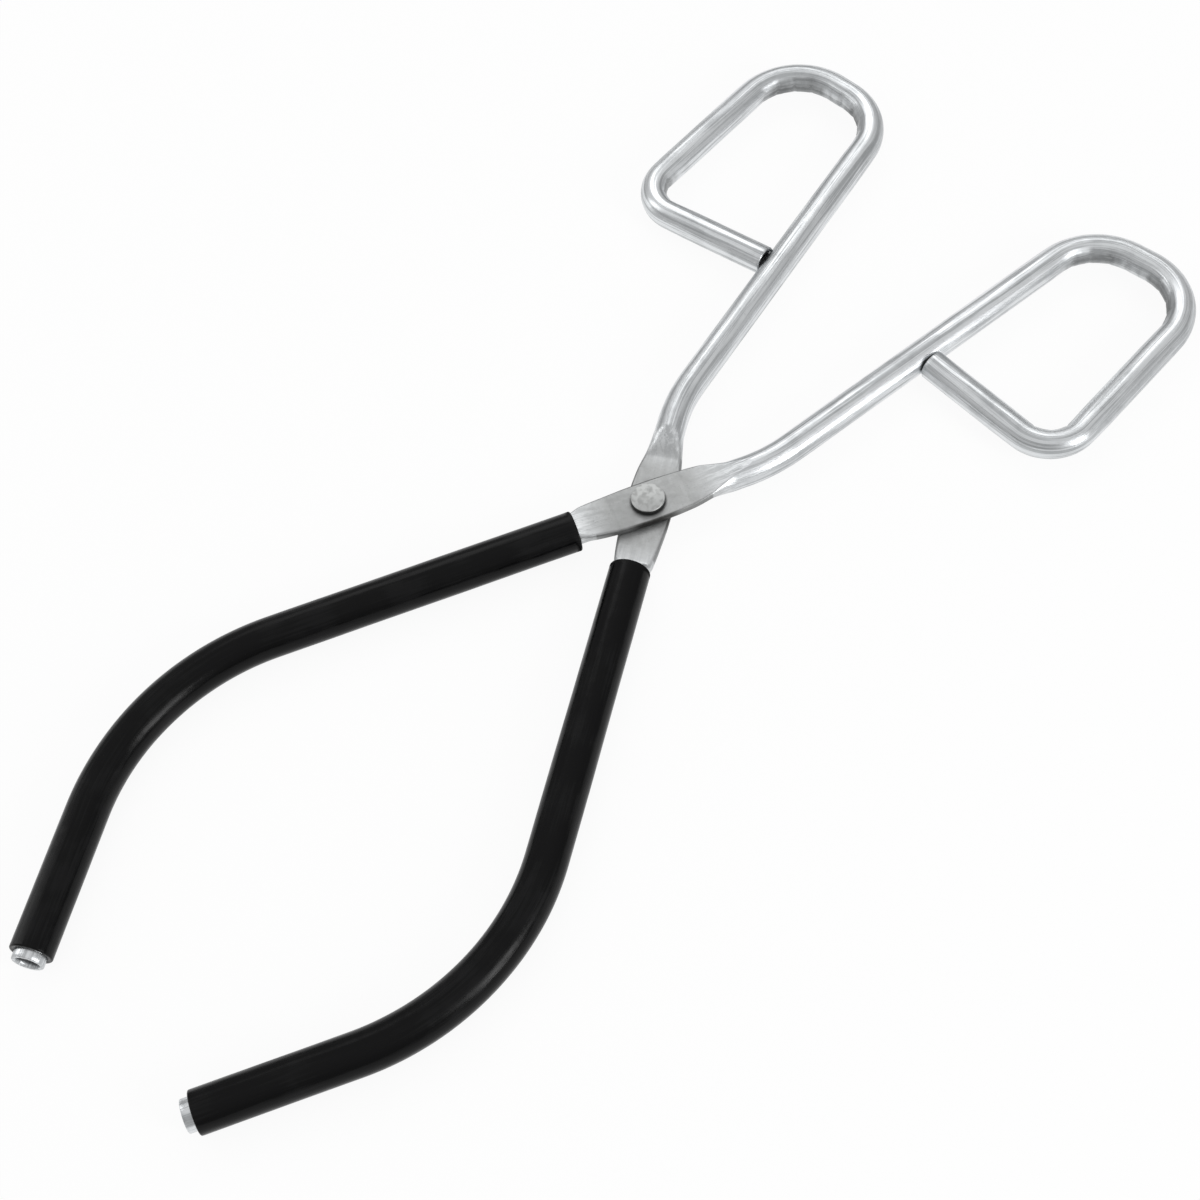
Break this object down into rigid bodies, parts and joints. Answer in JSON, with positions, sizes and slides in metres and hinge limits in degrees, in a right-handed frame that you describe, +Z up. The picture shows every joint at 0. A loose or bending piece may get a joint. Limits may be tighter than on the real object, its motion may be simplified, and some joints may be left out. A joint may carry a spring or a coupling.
{
  "type": "beaker tongs",
  "caption": "Scissor-type beaker tongs of bent steel tube, crossed on a rivet, with finger loops and soft-sleeved curved jaws.",
  "frame": {"origin": "under the middle of the tongs' outline at rest, on the surface that they lie on", "axes": "+Y runs from the jaws to the finger loops, +Z is up, along the rivet, and +X is across the tongs, toward the upper arm's finger loop"},
  "size_m": [0.1332, 0.295, 0.0094],
  "materials": {
    "plated_tube": "bright nickel-plated tube, faintly drawn along its length",
    "rivet_steel": "bright plated rivet, lightly hammered",
    "jaw_sleeve": "glossy soft black PVC"
  },
  "bodies": {
    "lower_half": {"lower_arm": "plated_tube", "lower_jaw_sleeve": "jaw_sleeve", "pivot_rivet": "rivet_steel"},
    "upper_half": {"upper_arm": "plated_tube", "upper_jaw_sleeve": "jaw_sleeve"}
  },
  "joints": [
    {"name": "pivot", "type": "hinge", "parent": "lower_half", "child": "upper_half", "pos_m": [0, 0.01821, 0.0047], "axis": [0, 0, 1], "range_deg": [-80, 14.8]}
  ]
}
